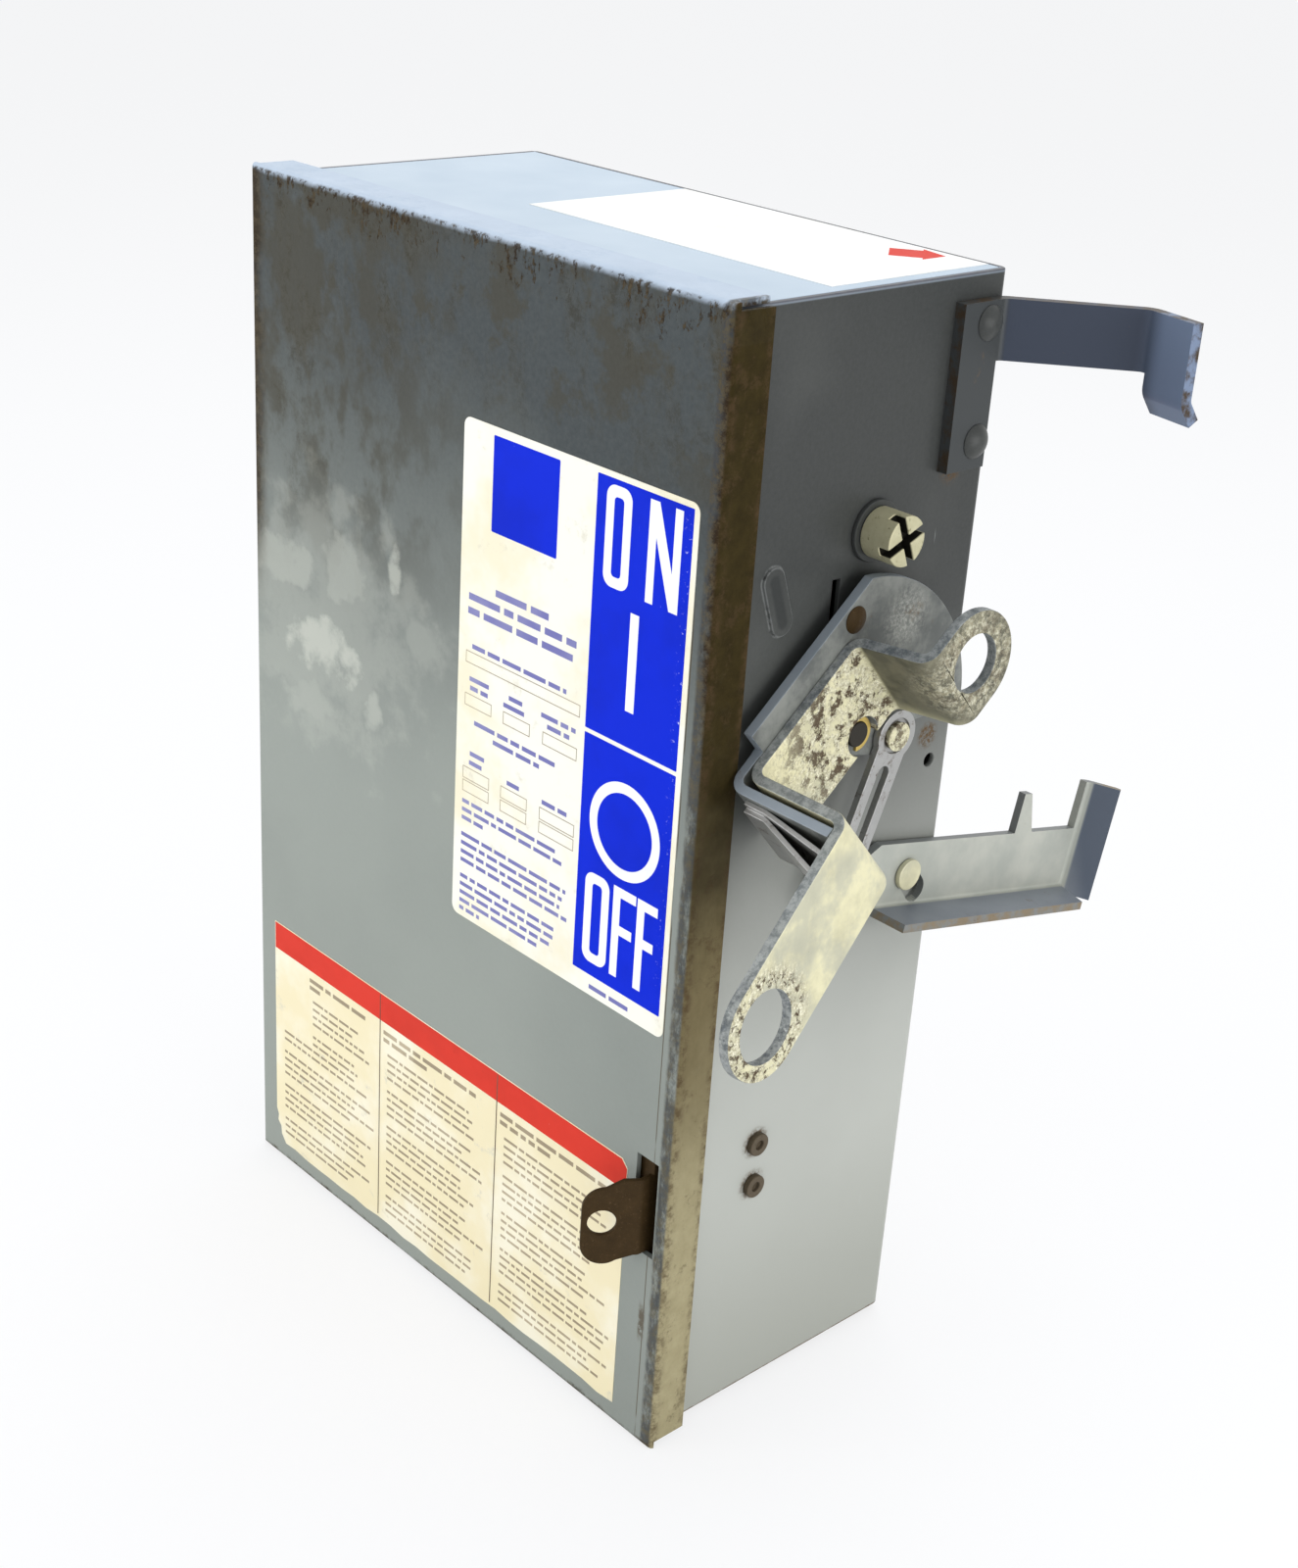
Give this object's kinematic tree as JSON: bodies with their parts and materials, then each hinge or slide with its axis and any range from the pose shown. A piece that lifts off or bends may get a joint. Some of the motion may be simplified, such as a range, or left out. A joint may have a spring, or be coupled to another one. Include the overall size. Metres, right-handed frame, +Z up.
{
  "type": "busway tap off box",
  "caption": "Fusible plug-in tap off box for overhead busway: steel case with hinged cover, side operating handle, interlock lever, hanger hook and plug-in contacts.",
  "frame": {"origin": "centre of the case's back face, which faces the busway", "axes": "+Y out of the back face towards the busway, +Z up along the case's longest side, +X towards the side with the handle"},
  "size_m": [0.2833, 0.233, 0.375],
  "materials": {
    "painted_steel": "weathered grey enamel with rust spots",
    "painted_cover": "weathered grey-blue enamel",
    "bracket_paint": "grey enamel, satin",
    "latch_steel": "dark oxidised steel",
    "bright_steel": "plain steel, satin",
    "zinc_plate": "yellow zinc plate with heavy corrosion",
    "brass": "dull",
    "copper_parts": "copper, dull",
    "black_moulding": "moulded phenolic",
    "red_moulding": "moulded glass polyester",
    "fibre_board": "pressed fibre sheet",
    "fuse_tube": "varnished fibre tube",
    "lug_aluminium": "plain"
  },
  "bodies": {
    "case": {"case_shell": "painted_steel", "top_end_plate": "painted_steel", "bottom_end_plate": "painted_steel", "case_hinge_leaves": "painted_steel", "hinge_pins": "bright_steel", "hanger_hook": "bracket_paint", "hanger_rivets": "painted_steel", "lever_pin": "zinc_plate", "lever_washer": "bright_steel", "shaft_bush": "zinc_plate", "end_bearing": "black_moulding", "release_collar": "latch_steel", "switch_base": "black_moulding", "fuse_base": "black_moulding", "base_screws": "bright_steel", "phase_barriers": "fibre_board", "line_jaws": "copper_parts", "hinge_clips": "copper_parts", "fuse_clips": "copper_parts", "fuse_tubes": "fuse_tube", "fuse_ferrules": "copper_parts", "load_lugs": "lug_aluminium", "lug_screws": "bright_steel", "ground_block": "lug_aluminium", "ground_screws": "latch_steel", "plug_base": "red_moulding", "plug_jaws": "copper_parts", "plug_studs": "brass", "ground_jaw": "bright_steel"},
    "handle": {"handle_strap": "zinc_plate", "rotor_plate": "bracket_paint", "rotor_springs": "bright_steel", "rotor_rivet": "latch_steel", "link_stud": "zinc_plate", "shaft_clip": "brass", "operating_shaft": "bright_steel", "crossbar": "red_moulding", "switch_blades": "copper_parts"},
    "link": {"interlock_link": "bright_steel"},
    "lever": {"latch_lever": "bracket_paint", "lever_stud": "bright_steel"},
    "release": {"release_screw": "brass"},
    "cover": {"cover": "painted_cover", "cover_hinge_leaves": "painted_steel", "latch_guide": "bright_steel"},
    "latch": {"cover_latch": "latch_steel"}
  },
  "joints": [
    {"name": "handle_turn", "type": "hinge", "parent": "case", "child": "handle", "pos_m": [0.1079, -0.0565, 0.0545], "axis": [1, 0, 0], "range_deg": [-81, 0]},
    {"name": "link_swing", "type": "hinge", "parent": "handle", "child": "link", "pos_m": [0.1079, -0.04018, 0.05049], "axis": [1, 0, 0], "range_deg": [0, 103.5]},
    {"name": "lever_tilt", "type": "hinge", "parent": "case", "child": "lever", "pos_m": [0.1079, -0.0193, -0.005], "axis": [1, 0, 0], "range_deg": [0, 12.5]},
    {"name": "release_turn", "type": "hinge", "parent": "case", "child": "release", "pos_m": [0.1079, -0.048, 0.1137], "axis": [1, 0, 0], "range_deg": [0, 90]},
    {"name": "cover_swing", "type": "hinge", "parent": "case", "child": "cover", "pos_m": [-0.1155, -0.0981, 0], "axis": [0, 0, 1], "range_deg": [-110, 0]},
    {"name": "latch_slide", "type": "slide", "parent": "cover", "child": "latch", "axis": [0, 0, 1], "range_m": [0, 0.006]}
  ],
  "couplings": [
    {"joint": "link_swing", "follows": "handle_turn", "ratio": -1.2777},
    {"joint": "lever_tilt", "follows": "handle_turn", "ratio": -0.1543}
  ]
}
